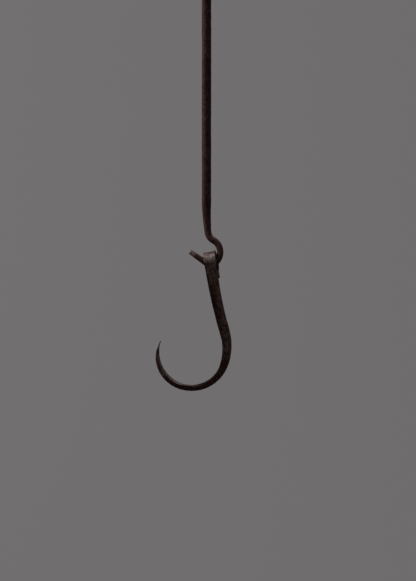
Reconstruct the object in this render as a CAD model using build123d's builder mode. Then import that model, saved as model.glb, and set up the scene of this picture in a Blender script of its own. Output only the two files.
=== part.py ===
from build123d import *
from math import acos, cos, degrees, radians, sin, sqrt
import os

# Forged hanging hook: a cranked hanger rod, and a J hook whose folded eye swings in the rod's crook.
# Millimetres. The origin is the centre of the hanging eye at the rod's top: +Z is up, +X runs
# towards the crook's riser, and +Y points back to the wall. The rod's whole path lies in XZ.

# Hanging eye, flattened from the rod and rolled round the support
hang_bore = 13.0
hang_strap_width = 8.0
hang_strap_thickness = 3.6
hang_strap_bevel = 0.5
hang_wrap = 318.0
hang_neck_radius = 10.0
flattening_length = 17.0

# Rod: a long straight shaft, drawn down where it begins to bend
rod_diameter = 8.0
shaft_length = 208.3
drawn_length = 24.0
drawn_angle = 6.3

# Crank, riser, crook and free end: each diameter is at the end of its stretch
crank_diameter = 6.0
crank_radius = 9.1
crank_angle = 54.3
riser_diameter = 5.7
riser_radius = 12.1
riser_angle = 104.8
crook_diameter = 5.6
crook_radius = 7.1
crook_angle = 80.0
free_end_length = 17.3
free_end_diameter = 4.2
free_end_rounding = 0.6

# Folded eye of the hook, and how it seats on the crook
strap_width = 10.6
strap_thickness = 4.4
strap_bevel = 0.35
fold_slant = 10.0
eye_side_clearance = 1.1
seat_clearance = 0.3
hang_tilt = 5.15

# Tail: turned in under the crook's bar, then lapped and welded on the shank
tail_drop = 3.4
tail_angle = 85.0
tail_lap = 2.2
tail_width = 10.0
tail_tip_width = 10.8
tail_thickness = 2.4
tail_tip_thickness = 1.8
weld_depth = 0.15

# Shank, shoulder, bowl and curl of the J, along the line through the middle of the metal
neck_length = 3.0
neck_angle = 3.2
shank_length = 59.4
shank_angle = 8.9
shank_width = 8.8
shank_depth = 5.3
shoulder_radius = 50.4
shoulder_angle = 33.9
shoulder_width = 7.1
bowl_radius = 31.2
bowl_angle = 82.6
bowl_width = 5.0
bowl_depth = 5.6
bowl_bevel = 0.95
curl_radius = 28.9
curl_angle = 95.6
point_size = 1.7
point_bevel = 0.4
needle_angle = 9.6
needle_size = 1.15
needle_bevel = 0.25

# How the curl draws out to its point: powers of the share of its length
late_start = 4.0
late_end = 1.1

os.makedirs("parts", exist_ok=True)


def between(start, end, share):
    return start + (end - start) * share


def arc_radius(length, turn):
    return length / radians(turn)


def bar_section(plane, width, depth, bevel):
    """Flat bar cut square to its length, with forged bevels on its four corners."""
    with BuildSketch(plane) as section:
        Rectangle(width, depth)
        chamfer(section.vertices(), length=bevel)
    return section.sketch


def round_section(plane, diameter):
    with BuildSketch(plane) as section:
        Circle(diameter / 2)
    return section.sketch


def across(edge, share, face):
    """Plane square to a flat path: its local y axis is the path plane's own normal, face."""
    along = edge % share
    return Plane(origin=edge @ share, x_dir=face.cross(along), z_dir=along)


def steady(share):
    return share


def early(share):
    """Changes most at the start of a stretch, and eases into its end."""
    return share * (2 - share)


def late(share):
    """Changes most towards the end, as a point is drawn out."""
    return 1 - (1 - share**late_start) ** late_end


def tapered(stretches, face):
    """Bar sections along a flat path; each stretch goes from one set of sizes to the next."""
    edge, _, sizes, _, _ = stretches[0]
    sections = [bar_section(across(edge, 0, face), *sizes)]
    for edge, steps, start, end, law in stretches:
        for step in range(1, steps + 1):
            share = step / steps
            sizes = [between(a, b, law(share)) for a, b in zip(start, end)]
            sections.append(bar_section(across(edge, share, face), *sizes))
    return sections


# Hanging eye: the neck bends off the shaft's line, and meets the ring where their arcs touch
ring_radius = (hang_bore + hang_strap_thickness) / 2
neck_foot = -sqrt((hang_neck_radius + ring_radius) ** 2 - hang_neck_radius**2)
neck_bend = degrees(acos(hang_neck_radius / (hang_neck_radius + ring_radius)))

with BuildPart() as hanger_rod:
    # rolled ring
    with BuildSketch(Plane.XY) as ring_section:
        with Locations((ring_radius, 0)):
            Rectangle(hang_strap_thickness, hang_strap_width)
        chamfer(ring_section.vertices(), length=hang_strap_bevel)
    ring_start = ring_section.sketch.rotate(Axis.Y, neck_bend)
    revolve(ring_start, axis=-Axis.Y, revolution_arc=hang_wrap)

    # neck, from the ring down to the flattened foot
    foot_plane = Plane((0, 0, neck_foot))
    foot = bar_section(foot_plane, hang_strap_thickness, hang_strap_width, hang_strap_bevel)
    neck_axis = Axis((hang_neck_radius, 0, neck_foot), (0, 1, 0))
    revolve(foot, axis=neck_axis, revolution_arc=neck_bend)

    # flattening, from the round shaft to the foot
    shaft_top = round_section(Plane((0, 0, neck_foot - flattening_length)), rod_diameter)
    loft([shaft_top, foot])

    # straight shaft
    extrude(shaft_top, amount=-(shaft_length + neck_foot - flattening_length))

    # drawn end, crank, riser, crook and free end
    with BuildLine(Plane.XZ) as crook_path:
        drawn_radius = arc_radius(drawn_length, drawn_angle)
        drawn = JernArc((0, -shaft_length), (0, -1), drawn_radius, arc_size=drawn_angle)
        crank = JernArc(drawn @ 1, drawn % 1, crank_radius, arc_size=crank_angle)
        riser = JernArc(crank @ 1, crank % 1, riser_radius, arc_size=-riser_angle)
        crook = JernArc(riser @ 1, riser % 1, crook_radius, arc_size=-crook_angle)
        free_end = Line(crook @ 1, crook @ 1 + (crook % 1) * free_end_length)
    front = Vector(0, -1, 0)
    rod_stretches = [
        (drawn, rod_diameter, crank_diameter),
        (crank, crank_diameter, crank_diameter),
        (riser, crank_diameter, riser_diameter),
        (crook, riser_diameter, crook_diameter),
        (free_end, crook_diameter, free_end_diameter),
    ]
    for edge, start, end in rod_stretches:
        ends = [round_section(across(edge, 0, front), start), round_section(across(edge, 1, front), end)]
        sweep(ends, path=edge, multisection=True)
    tip = hanger_rod.edges().filter_by(GeomType.CIRCLE).sort_by_distance(free_end @ 1)[0]
    fillet(tip, radius=free_end_rounding)

hanger_rod.part.label = "hanger_rod"
export_step(hanger_rod.part, "parts/hanger_rod.step")


# Seat: the fold rests with its left edge on the free end and its right edge in the riser's bend.
# Both edges keep seat_clearance from the bar, which fixes how far up the free end the left edge lies.
fold_axis = Vector(cos(radians(fold_slant)), 0, sin(radians(fold_slant)))
fold_up = Vector(-sin(radians(fold_slant)), 0, cos(radians(fold_slant)))
eye_inner = crook_diameter / 2 + eye_side_clearance
eye_middle = eye_inner + strap_thickness / 2
bar_reach = riser_diameter / 2 + seat_clearance
free_way = crook % 1
free_normal = Vector(-free_way.Z, 0, free_way.X) * -1
edge_to_edge = fold_axis * strap_width
left_edge = crook @ 1 + free_normal * bar_reach
offset = left_edge + edge_to_edge - riser.arc_center
along = offset.dot(free_way)
slide = -along - sqrt(along**2 - offset.dot(offset) + (riser_radius - bar_reach) ** 2)
left_edge = left_edge + free_way * slide
fold_line = left_edge + edge_to_edge / 2 - fold_up * strap_bevel
eye_centre = fold_line - fold_up * eye_inner

# The hook hangs tilted back about the fold, so that its weight lies under the crook's bar
tilt = radians(hang_tilt)
back = Vector(0, cos(tilt), 0) + fold_up * sin(tilt)
up = fold_up * cos(tilt) - Vector(0, sin(tilt), 0)
right = fold_axis * cos(radians(fold_slant)) - up * sin(radians(fold_slant))
hook_plane = Plane(origin=eye_centre - back * eye_middle, x_dir=right, z_dir=-back)
fold_plane = Plane(origin=eye_centre, x_dir=back, z_dir=fold_axis)

with BuildPart() as hook:
    # fold over the crook, square to the strap
    fold_start = Plane(origin=eye_centre - back * eye_middle, x_dir=back, z_dir=up)
    fold_section = bar_section(fold_start, strap_thickness, strap_width, strap_bevel)
    revolve(fold_section, axis=Axis(eye_centre, -fold_axis), revolution_arc=180)

    # tail: down behind the bar, in under it, and back down along the shank
    with BuildLine(fold_plane) as tail_path:
        drop = Line((eye_middle, 0), (eye_middle, -tail_drop))
        turn_in = JernArc(drop @ 1, drop % 1, eye_middle, arc_size=-tail_angle)
        inward = 2 * eye_inner + (strap_thickness - tail_thickness) / 2 + weld_depth
        turn_back_radius = inward / (1 - cos(radians(tail_angle))) - eye_middle
        turn_back = JernArc(turn_in @ 1, turn_in % 1, turn_back_radius, arc_size=tail_angle)
        lap = Line(turn_back @ 1, turn_back @ 1 - up * tail_lap)
    tail_plan = [
        (drop, 0, strap_thickness, strap_width),
        (drop, 1, strap_thickness, strap_width),
        (turn_in, 1, tail_thickness, tail_width),
        (turn_back, 1, tail_thickness, tail_width),
        (lap, 1, tail_tip_thickness, tail_tip_width),
    ]
    tail_sections = []
    for edge, share, thickness, width in tail_plan:
        tail_sections.append(bar_section(across(edge, share, fold_axis), thickness, width, strap_bevel))
    sweep(tail_sections, path=tail_path.wire(), multisection=True)

    # J: shank, shoulder, bowl and curl, the strap thickening into a bar that tapers to a point
    with BuildLine(hook_plane) as bowl_path:
        shank_way = (sin(radians(fold_slant)), -cos(radians(fold_slant)))
        neck_radius = arc_radius(neck_length, neck_angle)
        shank_radius = arc_radius(shank_length, shank_angle)
        neck = JernArc((0, 0), shank_way, neck_radius, arc_size=-neck_angle)
        shank = JernArc(neck @ 1, neck % 1, shank_radius, arc_size=shank_angle)
        shoulder = JernArc(shank @ 1, shank % 1, shoulder_radius, arc_size=-shoulder_angle)
        bowl = JernArc(shoulder @ 1, shoulder % 1, bowl_radius, arc_size=-bowl_angle)
        curl = JernArc(bowl @ 1, bowl % 1, curl_radius, arc_size=-curl_angle)
        needle = JernArc(curl @ 1, curl % 1, curl_radius, arc_size=-needle_angle)
    neck_size = (strap_width, strap_thickness, strap_bevel)
    shank_size = (shank_width, shank_depth, strap_bevel)
    shoulder_size = (shoulder_width, bowl_depth, strap_bevel)
    bowl_size = (bowl_width, bowl_depth, bowl_bevel)
    point = (point_size, point_size, point_bevel)
    needle_tip = (needle_size, needle_size, needle_bevel)
    bowl_stretches = [
        (neck, 1, neck_size, neck_size, steady),
        (shank, 6, neck_size, shank_size, early),
        (shoulder, 4, shank_size, shoulder_size, steady),
        (bowl, 6, shoulder_size, bowl_size, early),
        (curl, 14, bowl_size, point, late),
        (needle, 4, point, needle_tip, early),
    ]
    loft(tapered(bowl_stretches, -back))

hook.part.label = "hook"
export_step(hook.part, "parts/hook.step")
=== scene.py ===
import bpy
import bmesh
from math import atan2, cos, degrees, pi, radians, sin
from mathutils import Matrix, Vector, noise


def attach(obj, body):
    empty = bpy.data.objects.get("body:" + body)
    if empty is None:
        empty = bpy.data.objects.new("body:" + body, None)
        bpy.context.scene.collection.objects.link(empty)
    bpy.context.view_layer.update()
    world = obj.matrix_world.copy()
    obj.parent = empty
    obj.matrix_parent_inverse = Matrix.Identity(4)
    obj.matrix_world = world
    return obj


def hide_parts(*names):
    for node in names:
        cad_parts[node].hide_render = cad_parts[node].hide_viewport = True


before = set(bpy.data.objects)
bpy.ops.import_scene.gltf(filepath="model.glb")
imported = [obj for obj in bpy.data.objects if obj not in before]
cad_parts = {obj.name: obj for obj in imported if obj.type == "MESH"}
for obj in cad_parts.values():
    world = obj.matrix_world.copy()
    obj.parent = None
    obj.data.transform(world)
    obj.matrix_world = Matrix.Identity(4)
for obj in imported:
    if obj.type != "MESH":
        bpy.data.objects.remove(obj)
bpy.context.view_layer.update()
scene = bpy.context.scene

# camera, level with the hook and a little to the riser's side
cameraSet = {
    "target": (0.00133, 0.0, -0.28324),
    "distance": 1.41,
    "turn": 7.5,
    "height": 4.0,
    "lens": 99.95,
}


def makeCamera():
    turn, height = radians(cameraSet["turn"]), radians(cameraSet["height"])
    target = Vector(cameraSet["target"])
    towards = Vector((sin(turn) * cos(height), -cos(turn) * cos(height), sin(height)))
    data = bpy.data.cameras.new("camera")
    data.sensor_fit = "VERTICAL"
    data.sensor_height = 36.0
    data.lens = cameraSet["lens"]
    camera = bpy.data.objects.new("camera", data)
    scene.collection.objects.link(camera)
    camera.location = target + towards * cameraSet["distance"]
    camera.rotation_euler = (-towards).to_track_quat("-Z", "Y").to_euler()
    scene.camera = camera


makeCamera()
print("camera set")

# grey sweep all round, and soft light from above and the left
stageSet = {
    "floor": -0.95,
    "radius": 3.2,
    "cove": 1.2,
    "wall": 4.5,
    "middle": 0.001,
    "merge": 0.0005,
    "coveSteps": 16,
    "roundSteps": 96,
    "grey": (0.171, 0.164, 0.168),
    "shade": (0.146, 0.138, 0.140),
    "shadeFrom": -1.2,
    "shadeTo": 1.4,
}
lightSet = {
    "world": 0.075,
    "worldTint": (1.0, 0.95, 0.93),
    "keyPower": 58.0,
    "keySize": 1.5,
    "keyPlace": (-1.65, -0.02, 1.05),
    "topPower": 10.0,
    "topSize": 1.0,
    "topPlace": (0.25, -0.3, 1.5),
    "aim": (0.0, 0.0, -0.26),
}


def makeStage():
    mesh = bmesh.new()
    coveFoot = stageSet["radius"] - stageSet["cove"]
    coveCentre = (coveFoot, 0, stageSet["floor"] + stageSet["cove"])
    rim = mesh.verts.new((stageSet["middle"], 0, stageSet["floor"]))
    edge = mesh.verts.new((coveFoot, 0, stageSet["floor"]))
    mesh.edges.new((rim, edge))
    turned = bmesh.ops.spin(mesh, geom=[edge], axis=(0, -1, 0), cent=coveCentre,
                            angle=pi / 2, steps=stageSet["coveSteps"])
    top = mesh.verts.new((stageSet["radius"], 0, stageSet["wall"]))
    last = [v for v in turned["geom_last"] if isinstance(v, bmesh.types.BMVert)][0]
    mesh.edges.new((last, top))
    bmesh.ops.spin(mesh, geom=mesh.verts[:] + mesh.edges[:], axis=(0, 0, 1), cent=(0, 0, 0),
                   angle=2 * pi, steps=stageSet["roundSteps"], use_merge=True)
    bmesh.ops.remove_doubles(mesh, verts=mesh.verts[:], dist=stageSet["merge"])
    bmesh.ops.recalc_face_normals(mesh, faces=mesh.faces[:])
    for face in mesh.faces:
        face.smooth = True
    data = bpy.data.meshes.new("sweep")
    mesh.to_mesh(data)
    mesh.free()
    sweep = bpy.data.objects.new("sweep", data)
    scene.collection.objects.link(sweep)
    sweep.visible_diffuse = False
    sweep.visible_glossy = False
    sweep.visible_shadow = False
    material = bpy.data.materials.new("sweepGrey")
    material.use_nodes = True
    nodes, links = material.node_tree.nodes, material.node_tree.links
    nodes.clear()
    out = nodes.new("ShaderNodeOutputMaterial")
    coords = nodes.new("ShaderNodeTexCoord")
    split = nodes.new("ShaderNodeSeparateXYZ")
    links.new(coords.outputs["Object"], split.inputs[0])
    fall = nodes.new("ShaderNodeMapRange")
    fall.inputs["From Min"].default_value = stageSet["shadeFrom"]
    fall.inputs["From Max"].default_value = stageSet["shadeTo"]
    links.new(split.outputs["X"], fall.inputs["Value"])
    tone = nodes.new("ShaderNodeMix")
    tone.data_type = "RGBA"
    tone.inputs[6].default_value = (*stageSet["grey"], 1)
    tone.inputs[7].default_value = (*stageSet["shade"], 1)
    links.new(fall.outputs[0], tone.inputs[0])
    glow = nodes.new("ShaderNodeEmission")
    links.new(tone.outputs[2], glow.inputs["Color"])
    matt = nodes.new("ShaderNodeBsdfDiffuse")
    links.new(tone.outputs[2], matt.inputs["Color"])
    path = nodes.new("ShaderNodeLightPath")
    seen = nodes.new("ShaderNodeMixShader")
    links.new(path.outputs["Is Camera Ray"], seen.inputs[0])
    links.new(matt.outputs[0], seen.inputs[1])
    links.new(glow.outputs[0], seen.inputs[2])
    links.new(seen.outputs[0], out.inputs["Surface"])
    data.materials.append(material)


def makeLights():
    world = bpy.data.worlds.new("studio")
    scene.world = world
    world.use_nodes = True
    back = world.node_tree.nodes["Background"]
    back.inputs["Color"].default_value = (*lightSet["worldTint"], 1)
    back.inputs["Strength"].default_value = lightSet["world"]
    for name in ("key", "top"):
        data = bpy.data.lights.new(name, "AREA")
        data.energy = lightSet[name + "Power"]
        data.size = lightSet[name + "Size"]
        lamp = bpy.data.objects.new(name, data)
        scene.collection.objects.link(lamp)
        lamp.location = lightSet[name + "Place"]
        aim = Vector(lightSet["aim"]) - lamp.location
        lamp.rotation_euler = aim.to_track_quat("-Z", "Y").to_euler()


makeStage()
print("stage set")
makeLights()
scene.view_settings.view_transform = "Standard"
print("lights set")


# node groups that both forgings share
def addSocket(group, name, kind, way, value=None):
    socket = group.interface.new_socket(name=name, in_out=way, socket_type=kind)
    if value is not None:
        socket.default_value = value
    return socket


def mathNode(nodes, links, kind, first, second=None, clamp=False):
    node = nodes.new("ShaderNodeMath")
    node.operation = kind
    node.use_clamp = clamp
    for index, value in enumerate((first, second)):
        if value is None:
            continue
        if isinstance(value, (int, float)):
            node.inputs[index].default_value = value
        else:
            links.new(value, node.inputs[index])
    return node.outputs[0]


def mixNode(nodes, links, share, first, second):
    node = nodes.new("ShaderNodeMix")
    node.data_type = "RGBA"
    for index, value in ((0, share), (6, first), (7, second)):
        if isinstance(value, (int, float, tuple)):
            node.inputs[index].default_value = value
        else:
            links.new(value, node.inputs[index])
    return node.outputs[2]


def noiseNode(nodes, links, vector, scale, detail, rough, warp=0.0):
    node = nodes.new("ShaderNodeTexNoise")
    node.inputs["Scale"].default_value = scale
    node.inputs["Detail"].default_value = detail
    node.inputs["Roughness"].default_value = rough
    node.inputs["Distortion"].default_value = warp
    links.new(vector, node.inputs["Vector"])
    return node.outputs["Fac"]


def rangeNode(nodes, links, value, low, high, start=0.0, end=1.0):
    node = nodes.new("ShaderNodeMapRange")
    node.interpolation_type = "SMOOTHSTEP"
    links.new(value, node.inputs["Value"])
    node.inputs["From Min"].default_value = low
    node.inputs["From Max"].default_value = high
    node.inputs["To Min"].default_value = start
    node.inputs["To Max"].default_value = end
    return node.outputs[0]


ironSet = {
    # scale, detail, roughness and warp of each texture
    "streak": (900.0, 3.0, 0.6, 0.0),
    "cloud": (110.0, 4.0, 0.6, 0.4),
    "grain": (420.0, 5.0, 0.65, 0.2),
    "fleck": (950.0, 3.0, 0.55, 0.3),
    "fine": (1700.0, 3.0, 0.6, 0.0),
    "rustCloud": (260.0, 5.0, 0.7, 0.9),
    "spread": (0.34, 0.66),    # the stretch of a texture that runs from none to all
    "bloomMix": (0.38, 0.20, 0.18, 0.24), "bloomGain": 2.2,    # streak, cloud, grain and fleck
    "hollow": (-0.15, -0.7), "arris": (0.2, 0.8), "edgeRust": 0.5,
    "freckle": (0.42, 0.62), "freckleBreak": (0.40, 0.60, 0.25, 1.0),
    "bareMix": (0.40, 0.70, 0.40), "bareCut": 0.80,    # grain, streak and fleck
    "bareEdge": (0.15, 0.75), "bareFrom": (0.0, 0.35), "warmth": (0.1, 1.0, 0.0, 0.85),
    "paintedShadeAndDark": (0.0, -1.0, 0.0, 0.8),
    "rough": (0.3, 0.7, 0.52, 0.74), "bareSmooth": 0.14, "dull": 0.3, "bareMetal": 0.6,
    "heightMix": (0.55, 0.25, 0.2),    # grain, fleck and fine
}


def makeIronGroup():
    group = bpy.data.node_groups.new("forgedIron", "ShaderNodeTree")
    for name, value in ironDefaults.items():
        kind = "NodeSocketColor" if isinstance(value, tuple) else "NodeSocketFloat"
        addSocket(group, name, kind, "INPUT", value)
    addSocket(group, "Fibre", "NodeSocketVector", "INPUT")
    addSocket(group, "Color", "NodeSocketColor", "OUTPUT")
    for name in ("Roughness", "Metallic", "Height"):
        addSocket(group, name, "NodeSocketFloat", "OUTPUT")
    nodes, links = group.nodes, group.links
    inside = nodes.new("NodeGroupInput").outputs
    out = nodes.new("NodeGroupOutput").inputs
    place = nodes.new("ShaderNodeTexCoord").outputs["Object"]

    def texture(name, vector=place):
        return noiseNode(nodes, links, vector, *ironSet[name])

    def join(kind, first, second, clamp=False):
        return mathNode(nodes, links, kind, first, second, clamp)

    def fade(source, *limits):
        return rangeNode(nodes, links, source, *limits)

    def sumOf(*terms):
        total = terms[0]
        for term in terms[1:]:
            total = join("ADD", total, term)
        return total

    def blend(sources, shares):
        return sumOf(*(fade(source, *ironSet["spread"], 0.0, share)
                       for source, share in zip(sources, shares)))

    streak = texture("streak", inside["Fibre"])
    cloud = texture("cloud")
    grain = texture("grain")
    fleck = texture("fleck")
    fine = texture("fine")
    rustCloud = texture("rustCloud")

    # scale, greyed in clouds, streaks and flecks, and by the greyed share, which in places also
    # paints light and shade by how a face turns to the lamps
    broken = blend((streak, cloud, grain, fleck), ironSet["bloomMix"])
    uneven = join("MULTIPLY", join("SUBTRACT", broken, 0.5), ironSet["bloomGain"])
    bloom = join("ADD", uneven, inside["Greyed"], True)
    color = mixNode(nodes, links, bloom, inside["Scale"], inside["Bloom"])
    # rust in the hollows, along the arrises and in freckles
    hollow = fade(inside["Ridge"], *ironSet["hollow"], 0.0, ironSet["edgeRust"])
    arris = fade(inside["Ridge"], *ironSet["arris"], 0.0, ironSet["edgeRust"])
    freckle = join("MULTIPLY", fade(rustCloud, *ironSet["freckle"]),
                   fade(fleck, *ironSet["freckleBreak"]))
    rusty = sumOf(hollow, arris, freckle, inside["Rusted"])
    rustMask = join("MULTIPLY", rusty, inside["Rust Amount"], True)
    color = mixNode(nodes, links, rustMask, color, inside["Rust"])
    # bare metal where it is rubbed; in places the rubbed share is raised as painted light on faces
    # turned away from the lamps
    patch = blend((grain, streak, fleck), ironSet["bareMix"])
    bareCut = join("SUBTRACT", sumOf(inside["Rubbed"], patch), ironSet["bareCut"])
    bareMask = join("MULTIPLY", fade(bareCut, *ironSet["bareEdge"]),
                    fade(inside["Rubbed"], *ironSet["bareFrom"]))
    warm = fade(inside["Rusted"], *ironSet["warmth"])
    metal = mixNode(nodes, links, warm, inside["Bare"], inside["Tan"])
    color = mixNode(nodes, links, bareMask, color, metal)
    # painted shade: darkening towards black where the greyed share is below nothing, in the shaded
    # hollows, the gap under the bar and the inside of the bowl; the same darkening also marks a few
    # dark edges
    paintedShadeAndDark = fade(inside["Greyed"], *ironSet["paintedShadeAndDark"])
    links.new(mixNode(nodes, links, paintedShadeAndDark, color, (0.0, 0.0, 0.0, 1)), out["Color"])
    rough = join("SUBTRACT", fade(grain, *ironSet["rough"]),
                 join("MULTIPLY", bareMask, ironSet["bareSmooth"]))
    dull = join("MULTIPLY", sumOf(rustMask, paintedShadeAndDark), ironSet["dull"])
    links.new(join("ADD", rough, dull, True), out["Roughness"])
    links.new(join("MULTIPLY", bareMask, ironSet["bareMetal"]), out["Metallic"])
    high = sumOf(*(join("MULTIPLY", source, share)
                   for source, share in zip((grain, fleck, fine), ironSet["heightMix"])))
    links.new(high, out["Height"])
    return group


ironDefaults = {
    "Scale": (0.015, 0.007, 0.006, 1), "Bloom": (0.06, 0.038, 0.033, 1),
    "Rust": (0.06, 0.022, 0.013, 1), "Bare": (0.16, 0.14, 0.13, 1), "Tan": (0.2, 0.13, 0.1, 1),
    "Rubbed": 0.0, "Ridge": 0.0, "Greyed": 0.5, "Rusted": 0.0, "Rust Amount": 0.4,
}
ironGroup = makeIronGroup()
print("iron group made")


def makeIron(name, values):
    material = bpy.data.materials.new(name)
    material.use_nodes = True
    nodes, links = material.node_tree.nodes, material.node_tree.links
    shader = nodes["Principled BSDF"]
    iron = nodes.new("ShaderNodeGroup")
    iron.node_tree = ironGroup
    for key in ("Scale", "Bloom", "Rust", "Bare", "Tan"):
        iron.inputs[key].default_value = (*values[key.lower()], 1)
    iron.inputs["Rust Amount"].default_value = values["rustAmount"]
    for key in ("Rubbed", "Ridge", "Greyed", "Rusted"):
        mark = nodes.new("ShaderNodeAttribute")
        mark.attribute_name = key.lower()
        links.new(mark.outputs["Fac"], iron.inputs[key])
    fibre = nodes.new("ShaderNodeAttribute")
    fibre.attribute_name = "fibre"
    links.new(fibre.outputs["Vector"], iron.inputs["Fibre"])
    links.new(iron.outputs["Color"], shader.inputs["Base Color"])
    links.new(iron.outputs["Roughness"], shader.inputs["Roughness"])
    links.new(iron.outputs["Metallic"], shader.inputs["Metallic"])
    shader.inputs["Specular IOR Level"].default_value = values["gloss"]
    bump = nodes.new("ShaderNodeBump")
    bump.inputs["Strength"].default_value = values["bump"]
    bump.inputs["Distance"].default_value = values["bumpDepth"]
    links.new(iron.outputs["Height"], bump.inputs["Height"])
    links.new(bump.outputs["Normal"], shader.inputs["Normal"])
    return material


def smoothStep(low, high, value):
    share = min(max((value - low) / (high - low), 0.0), 1.0)
    return share * share * (3 - 2 * share)


def between(start, end, share):
    return start + (end - start) * share


# hammered skins over the two forgings: a fine remesh of the solid,
# dented, pitted and marked with its wear
def forgedSkin(node, name, values, wearAt, fibreAt):
    mesh = bmesh.new()
    mesh.from_mesh(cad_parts[node].data)
    bmesh.ops.remove_doubles(mesh, verts=mesh.verts[:], dist=1e-6)
    data = bpy.data.meshes.new(name)
    mesh.to_mesh(data)
    mesh.free()
    skin = bpy.data.objects.new(name, data)
    scene.collection.objects.link(skin)
    remesh = skin.modifiers.new("skin", "REMESH")
    remesh.mode = "VOXEL"
    remesh.voxel_size = values["voxel"]
    remesh.use_smooth_shade = True
    bpy.context.view_layer.update()
    evaluated = skin.evaluated_get(bpy.context.evaluated_depsgraph_get())
    dense = bpy.data.meshes.new_from_object(evaluated)
    skin.modifiers.clear()
    skin.data = dense
    mesh = bmesh.new()
    mesh.from_mesh(dense)
    for turn in range(values["smooth"]):
        bmesh.ops.smooth_vert(mesh, verts=mesh.verts[:], factor=0.5,
                              use_axis_x=True, use_axis_y=True, use_axis_z=True)
    mesh.normal_update()
    moves = []
    for vert in mesh.verts:
        place = vert.co
        flats = noise.noise(place * values["flatScale"] + values["seed"])
        lumps = noise.noise(place * values["lumpScale"] + values["seed"] * 2)
        pit = max(0.0, noise.noise(place * values["pitScale"] - values["seed"]) - values["pitCut"])
        out = flats * values["flats"] + lumps * values["lumps"]
        out -= pit * values["pits"] + values["inset"]
        for foot, top, fade, lift in values["swells"]:
            share = smoothStep(foot, foot + fade, place.z) * smoothStep(top, top - fade, place.z)
            out += lift * share
        move = vert.normal * out
        for bump, reach, lift in values["bumps"]:
            move += Vector(lift) * (1 - smoothStep(0.0, reach, (place - Vector(bump)).length))
        moves.append(move)
    for vert, move in zip(mesh.verts, moves):
        vert.co += move
    mesh.normal_update()
    marks = [mesh.verts.layers.float.new(mark) for mark in ("ridge", "rubbed", "greyed", "rusted")]
    fibre = mesh.verts.layers.float_vector.new("fibre")
    for vert in mesh.verts:
        vert[fibre] = fibreAt(vert.co)
        around = Vector((0, 0, 0))
        for edge in vert.link_edges:
            around += edge.other_vert(vert).co - vert.co
        around /= max(len(vert.link_edges), 1)
        ridge = -around.dot(vert.normal) / values["voxel"] * values["ridgeGain"]
        ridge = max(-1.0, min(1.0, ridge))
        for mark, value in zip(marks, (ridge, *wearAt(vert.co, vert.normal))):
            vert[mark] = value
    for face in mesh.faces:
        face.smooth = True
    mesh.to_mesh(dense)
    mesh.free()
    dense.materials.clear()
    dense.materials.append(makeIron(name + "Iron", values))
    print(name, "vertices", len(dense.vertices), "faces", len(dense.polygons))
    return skin


rodSet = {
    "voxel": 0.00036,
    "smooth": 1, "ridgeGain": 6.0,
    "seed": Vector((3.1, 7.7, 1.9)),
    "flatScale": 110.0, "flats": 0.00014,
    "lumpScale": 420.0, "lumps": 0.00006,
    "pitScale": 900.0, "pitCut": 0.25, "pits": 0.00022,
    "inset": 0.00004,
    "scale": (0.0135, 0.0054, 0.0048),
    "bloom": (0.080, 0.047, 0.0415),
    "rust": (0.072, 0.024, 0.0150),
    "bare": (0.205, 0.170, 0.158),
    "tan": (0.215, 0.135, 0.108),
    "rustAmount": 0.45, "gloss": 0.14, "bump": 0.5, "bumpDepth": 0.0003,
    "bumps": [],
    "swells": [(-0.2320, -0.0160, 0.01, 0.00013)],    # foot, top, fade and lift
    "tip": (-0.0152, 0.0, -0.2500), "freeEndFall": 31.0, "tipWorn": 0.0035, "tipFade": 0.0080,
    "freeEndRoot": -0.0045, "freeEndTop": -0.2445,
    "shaftFoot": -0.208, "drawnFoot": -0.238,
    "crankTop": -0.2350, "crankFoot": -0.2440, "crankFade": 0.004,
    # painted shade on the left flank and painted light on the right side, set against the lamp on the
    # left
    "shaftGreyed": (0.24, 0.34), "leftFlankPaintedShade": (0.20, 0.33), "drawnRightPaintedLight": 0.12,    # shaft, drawn end
    # painted highlight along the crank's upper side: paler and bare there
    "crankGreyedAndHighlight": (0.6, 1.0), "crankTopHighlight": 0.62, "crankRusted": 0.3,
    # painted light on the riser's right side and painted shade on its left
    "riserGreyed": 0.70, "riserSideLight": 0.30,
    "flankRusted": (0.25, 0.5), "endRusted": (0.5, 0.9), "tipRusted": 0.7,
    # the tip's downward faces get the larger rubbed share as painted light
    "endRubbed": 0.22, "tipRubbedAndLit": (0.30, 1.30), "fibreStretch": 0.3,
}
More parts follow.
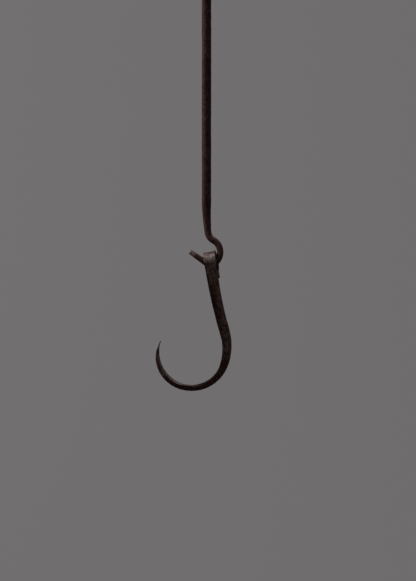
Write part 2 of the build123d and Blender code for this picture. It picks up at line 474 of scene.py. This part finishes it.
hookSet = {
    "voxel": 0.00028,
    "smooth": 1, "ridgeGain": 6.0,
    "seed": Vector((5.3, 2.2, 8.4)),
    "flatScale": 130.0, "flats": 0.00012,
    "lumpScale": 480.0, "lumps": 0.00006,
    "pitScale": 950.0, "pitCut": 0.22, "pits": 0.00022,
    "inset": 0.00007,
    "scale": (0.0170, 0.0092, 0.0088),
    "bloom": (0.127, 0.091, 0.086),
    "rust": (0.078, 0.025, 0.0155),
    "bare": (0.186, 0.162, 0.157),
    "tan": (0.215, 0.138, 0.110),
    "rustAmount": 0.45, "gloss": 0.07, "bump": 0.5, "bumpDepth": 0.0003,
    "foldAxis": (0.00401, 0.0, -0.25752), "foldUp": (-0.1736, 0.0, 0.9848), "foldRadius": 0.0083,
    "crown": (0.0007, 0.0032), "foldFade": (0.0045, 0.0120),
    "bumps": [    # place, reach and lift: the fold's burr, then the tail's ragged edge
        ((0.0075, -0.0012, -0.2486), 0.0016, (0, 0, 0.0010)),
        ((0.0114, 0.0, -0.2705), 0.0026, (0.0005, 0, 0)),
        ((0.0112, -0.0020, -0.2674), 0.0034, (0.0009, 0, 0)),
    ],
    "swells": [],
    "burr": (0.0075, -0.0012, -0.2480), "burrReach": 0.0012,
    "rimFade": (0.0030, 0.0060), "foldEnd": (0.0080, 0.0120), "cleanFade": (0.0120, 0.0060),
    "tailBehind": (0.0018, 0.0023), "tailTop": (-0.2570, -0.2590), "tailFoot": (-0.2699, -0.2687),
    "strapLine": (-0.2575, -0.0061, 0.0901),
    "strapFoot": (-0.2810, -0.2755), "weld": -0.2685, "weldHalf": 0.0020, "weldFade": (0.0012, 0.0),
    "seam": -0.2669, "seamHalf": 0.0008, "seamFade": (0.0022, 0.0),
    "gapTop": (-0.2555, -0.2610), "gapFoot": (-0.2695, -0.2640), "gapLow": 0.3,
    "lowShank": (-0.300, -0.320), "belly": (-0.332, -0.346),
    "foldRubbed": 0.66, "foldAcross": (0.74, 1.16), "foldWidth": (-0.0010, 0.0060),
    "tailFade": (-0.2600, -0.2655), "tailRubbedAndLit": 0.64, "seamRubbed": 0.60,
    "shankGreyed": (0.42, 0.80), "leftGreyed": -0.1, "lowGreyed": (0.15, 0.45), "bellyGreyed": -0.06,
    "strapGreyed": (-0.30, 0.5), "foldGreyed": (0.2, 0.9), "rimGreyed": -0.7, "weldGreyed": 0.9,
    # painted light on right-facing faces below the strap, painted shade inside the belly and in the
    # gap under the bar
    "rightFacePaintedLight": 0.5, "insidePaintedShade": -0.65, "gapPaintedShade": -0.55,
    "tailGreyed": 0.1, "tailTurned": 0.5,
    "rusted": 0.25, "bellyRusted": 0.1, "foldClean": 0.7, "edgeRusted": 0.85,
    "darkRusted": -0.2, "foldWipes": 1.5, "shadeRusted": -0.3,
    "bowlCentre": (-0.0146, 0.0010, -0.3408), "bowlTop": -0.330,
    "needle": (-0.3345, -0.3330),
    "shankLine": [(-0.250, 0.0030), (-0.280, 0.0073), (-0.300, 0.0112), (-0.320, 0.0160),
                  (-0.340, 0.0172), (-0.356, 0.0120)],
    "shankHalf": 0.0044, "fibreStretch": 0.3, "bowlFibre": 0.009, "innerReach": 0.004,
    # turns are in degrees round the bowl's centre, from its foot towards the point
    "outTurn": (4.0, 28.0), "polishTurn": (-28.0, -3.0), "pointTurn": (90.0, 100.0),
    "bowlTurn": (-40.0, -10.0), "curlTurn": (30.0, 60.0), "endTurn": (88.0, 98.0),
    "innerEdge": (0.90, 0.35), "innerFade": 0.08, "rimDepth": (0.0, 0.0025),
    # the bowl's rubbed share is raised towards the point as painted light; its outer faces and the
    # inner faces past the polish get painted shade
    "bowlRubbedAndLit": (0.72, 1.10), "pointRubbed": 0.75, "needleRubbed": 0.6, "rimDuller": 0.35,
    "bowlGreyed": (-0.08, -0.12), "curlGreyed": 0.36, "outerPaintedShade": 0.35, "bowlPaintedShade": -0.7,
    "bowlRusted": (0.26, 0.18), "innerRusted": (0.55, 1.0),
}


def onFreeEnd(place):
    return place.x < rodSet["freeEndRoot"] and place.z < rodSet["freeEndTop"]


# rubbed, greyed and rusted shares of a place on the rod
def rodWear(place, normal):
    if onFreeEnd(place):
        return freeEndWear(place, normal)
    drawn = smoothStep(rodSet["shaftFoot"], rodSet["drawnFoot"], place.z)
    crank = smoothStep(rodSet["crankTop"] + rodSet["crankFade"], rodSet["crankTop"], place.z)
    riser = smoothStep(rodSet["crankTop"], rodSet["crankFoot"], place.z)
    crank *= (1 - riser) * smoothStep(0.0, rodSet["crankFade"], place.x)
    top = smoothStep(0.2, 0.75, normal.z)
    flank = smoothStep(0.55, 0.95, abs(normal.x))
    left = smoothStep(0.3, 0.8, -normal.x)
    # painted shade on the left flank, where the left lamp lights the rim, and painted light on the
    # drawn end's right side
    greyed = between(*rodSet["shaftGreyed"], drawn) - between(*rodSet["leftFlankPaintedShade"], drawn) * left
    greyed += rodSet["drawnRightPaintedLight"] * drawn * smoothStep(-0.3, 0.3, normal.x)
    # painted highlight: the crank's upward faces paler, and bare by the rubbed share below
    greyed = between(greyed, between(*rodSet["crankGreyedAndHighlight"], top), crank)
    # painted light on the riser's right side and painted shade on its left
    greyed = between(greyed, rodSet["riserGreyed"] + rodSet["riserSideLight"] * normal.x, riser)
    rusted = between(*rodSet["flankRusted"], flank) + rodSet["crankRusted"] * crank * top
    return rodSet["crankTopHighlight"] * crank * top, greyed, rusted


# the free end is rubbed bright at its tip, with painted light on the tip's downward faces, and
# painted shade underneath, where it is also more rusted
def freeEndWear(place, normal):
    far = (place - Vector(rodSet["tip"])).length
    worn = 1 - smoothStep(rodSet["tipWorn"], rodSet["tipFade"], far)
    down = smoothStep(0.75, 0.50, normal.z)
    shadedUnder = down * (1 - worn)
    rubbed = between(rodSet["endRubbed"] * (1 - shadedUnder), between(*rodSet["tipRubbedAndLit"], down), worn)
    return rubbed, 1 - shadedUnder, between(between(*rodSet["endRusted"], shadedUnder), rodSet["tipRusted"], worn)


# where the drawn-out fibre of the iron runs: round the free end, and down everything else
def rodFibre(place):
    stretch = rodSet["fibreStretch"]
    if onFreeEnd(place):
        fall = radians(rodSet["freeEndFall"])
        far = place - Vector(rodSet["tip"])
        along = far.x * cos(fall) - far.z * sin(fall)
        return Vector((along * stretch, place.y, far.x * sin(fall) + far.z * cos(fall)))
    return Vector((place.x, place.y, place.z * stretch))


def shankMiddle(place):
    line = hookSet["shankLine"]
    for (highZ, highX), (lowZ, lowX) in zip(line, line[1:]):
        if place.z >= lowZ:
            return between(lowX, highX, (place.z - lowZ) / (highZ - lowZ))
    return line[-1][1]


def inBowl(place):
    reach = hookSet["shankLine"][-1][1] - hookSet["innerReach"]
    return place.z < hookSet["bowlTop"] and place.x < reach


def hookFibre(place):
    if not inBowl(place):
        across = place.x - shankMiddle(place)
        return Vector((across, place.y, place.z * hookSet["fibreStretch"]))
    spoke = Vector(hookSet["bowlCentre"]) - place
    along = atan2(spoke.x, spoke.z) * hookSet["bowlFibre"]
    return Vector((Vector((spoke.x, 0, spoke.z)).length, place.y, along))


# how far a place lies on the tail behind the strap, and how far on what shows of it
def tailShares(place, normal):
    lineZ, lineY, lean = hookSet["strapLine"]
    behind = place.y - lineY - (lineZ - place.z) * lean
    onTail = smoothStep(*hookSet["tailBehind"], behind) * smoothStep(*hookSet["tailTop"], place.z)
    tail = onTail * smoothStep(*hookSet["tailFoot"], place.z)
    tail *= smoothStep(*hookSet["tailFade"], place.z) * smoothStep(0.0, 0.7, normal.x)
    return onTail, tail


# greyed share down the shank: dark on its left, paler to its right, dark again in the belly
def shankGreyed(side, lit, low, belly):
    bright = between(*hookSet["shankGreyed"], smoothStep(0.0, 0.8, side))
    upper = between(hookSet["leftGreyed"], bright, lit)
    lower = between(*hookSet["lowGreyed"], lit)
    return between(between(upper, lower, low), hookSet["bellyGreyed"], belly)


# rubbed, greyed and rusted shares of a place on the hook
def hookWear(place, normal):
    if inBowl(place):
        return bowlWear(place, normal)
    height = (place - Vector(hookSet["foldAxis"])).dot(Vector(hookSet["foldUp"]))
    drop = hookSet["foldRadius"] - height
    crown = smoothStep(*hookSet["crown"], drop)
    leftRim = smoothStep(0.25, 0.6, -normal.x) * smoothStep(*hookSet["rimFade"], drop)
    fold = hookSet["foldRubbed"] * crown * (1 - smoothStep(*hookSet["foldFade"], drop))
    fold *= smoothStep(0.35, -0.1, normal.y) * smoothStep(0.9, 0.5, abs(normal.x))
    fold *= between(*hookSet["foldAcross"], smoothStep(*hookSet["foldWidth"], place.x))
    fold *= 1 - leftRim
    onTail, tail = tailShares(place, normal)
    side = (place.x - shankMiddle(place)) / hookSet["shankHalf"]
    low = smoothStep(*hookSet["lowShank"], place.z)
    belly = smoothStep(*hookSet["belly"], place.z)
    strap = smoothStep(*hookSet["strapFoot"], place.z)
    lit = smoothStep(-0.45, 0.0, side)
    rightSide = smoothStep(0.2, 0.9, normal.x)
    # painted shade on the left-facing faces in the belly, inside the bowl
    inside = smoothStep(0.3, 0.6, -normal.x) * belly

    # the shank and strap, then the fold, the weld, painted light on the right side and painted shade
    # on the inside of the belly
    onStrap = between(*hookSet["strapGreyed"], smoothStep(-1.20, -0.80, side))
    greyed = between(shankGreyed(side, lit, low, belly), onStrap, strap)
    greyed = between(between(*hookSet["foldGreyed"], crown), greyed,
                     smoothStep(*hookSet["foldEnd"], drop))
    greyed = between(greyed, hookSet["rimGreyed"], leftRim * strap)
    welded = smoothStep(*hookSet["weldFade"], abs(place.z - hookSet["weld"]) - hookSet["weldHalf"])
    greyed = between(greyed, hookSet["weldGreyed"], welded * smoothStep(-0.4, 0.4, side))
    # painted light on the right-facing faces of the shank below the strap
    greyed += hookSet["rightFacePaintedLight"] * smoothStep(0.3, 0.7, normal.x) * (1 - strap)
    greyed = between(greyed, hookSet["insidePaintedShade"], inside)

    # painted shade in the gap under the bar and under the burr, then the seam below them and the tail
    gapShade = rightSide * smoothStep(*hookSet["gapTop"], place.z)
    gapShade *= between(hookSet["gapLow"] * strap, 1.0, smoothStep(*hookSet["gapFoot"], place.z))
    burrFar = (place - Vector(hookSet["burr"])).length
    gapShade = max(gapShade, 1 - smoothStep(0.0, hookSet["burrReach"], burrFar))
    seam = smoothStep(*hookSet["seamFade"], abs(place.z - hookSet["seam"]) - hookSet["seamHalf"])
    seam *= rightSide
    greyed = between(between(greyed, hookSet["gapPaintedShade"], gapShade), 1.0, seam)
    tailGreyed = hookSet["tailGreyed"] - hookSet["tailTurned"] * max(normal.x, 0.0)
    # the tail's right side is paler and bare: wear, and painted light on a side turned from the lamp
    greyed = between(between(greyed, tailGreyed, onTail), 1.0, tail)

    # rust, least near the fold and in the shade
    rusted = hookSet["rusted"] * (1 + (1 - strap) * (1 - low)) + hookSet["bellyRusted"] * belly
    rusted *= 1 - hookSet["foldClean"] * smoothStep(*hookSet["cleanFade"], drop)
    rusted = max(rusted, hookSet["edgeRusted"] * max(tail, seam))
    dark = (1 - lit) * (1 - strap) * (1 - 0.6 * low) * (1 - belly)
    rusted = between(rusted, hookSet["darkRusted"], dark)
    rusted *= 1 - min(1.0, fold * hookSet["foldWipes"])
    rubbed = max(fold, hookSet["tailRubbedAndLit"] * tail, hookSet["seamRubbed"] * seam)
    return rubbed, greyed, between(rusted, hookSet["shadeRusted"], inside)


# the inside of the J is rubbed by what hangs in it, most of all on the way out to the point, where
# the rubbed share is raised further as painted light on the inner face turned away from the lamp
def bowlWear(place, normal):
    spoke = Vector(hookSet["bowlCentre"]) - place
    spoke.y = 0
    turn = degrees(atan2(spoke.x, spoke.z))
    inward = spoke.normalized().dot(normal)
    out = smoothStep(*hookSet["outTurn"], turn)
    edge = between(*hookSet["innerEdge"], out)
    inner = smoothStep(edge - hookSet["innerFade"], edge + hookSet["innerFade"], inward)
    polish = smoothStep(*hookSet["polishTurn"], turn)
    onNeedle = smoothStep(*hookSet["needle"], place.z) * out
    # the rise towards the point is partly painted light on the inner face turned from the lamp
    rubbed = inner * polish * between(*hookSet["bowlRubbedAndLit"], out)
    rubbed *= between(1.0, hookSet["pointRubbed"], smoothStep(*hookSet["pointTurn"], turn))
    rubbed = max(rubbed, hookSet["needleRubbed"] * onNeedle)
    greyed = between(*hookSet["bowlGreyed"], smoothStep(*hookSet["bowlTurn"], turn))
    greyed = between(greyed, hookSet["curlGreyed"], smoothStep(*hookSet["curlTurn"], turn))
    # painted shade on the outer faces of the curl
    greyed -= hookSet["outerPaintedShade"] * smoothStep(0.2, 0.8, -inward) * out
    greyed = between(greyed, 0.0, smoothStep(*hookSet["endTurn"], turn) * (1 - onNeedle))
    # painted shade on the inner faces past the polish
    shade = smoothStep(0.3, 0.6, inward) * (1 - out) * (1 - inner * polish)
    rim = inner * out * smoothStep(*hookSet["rimDepth"], place.y)
    rusted = between(between(*hookSet["bowlRusted"], out), between(*hookSet["innerRusted"], rim),
                     max(rim, inner * out))
    rubbed *= 1 - hookSet["rimDuller"] * rim
    greyed = between(greyed, hookSet["bowlPaintedShade"], shade)
    return rubbed, greyed, between(rusted, hookSet["shadeRusted"], shade)


rod = forgedSkin("hanger_rod", "hangerRodSkin", rodSet, rodWear, rodFibre)
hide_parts("hanger_rod")
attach(rod, "rod")
print("rod skinned")
hook = forgedSkin("hook", "hookSkin", hookSet, hookWear, hookFibre)
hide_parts("hook")
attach(hook, "hook")
print("hook skinned")
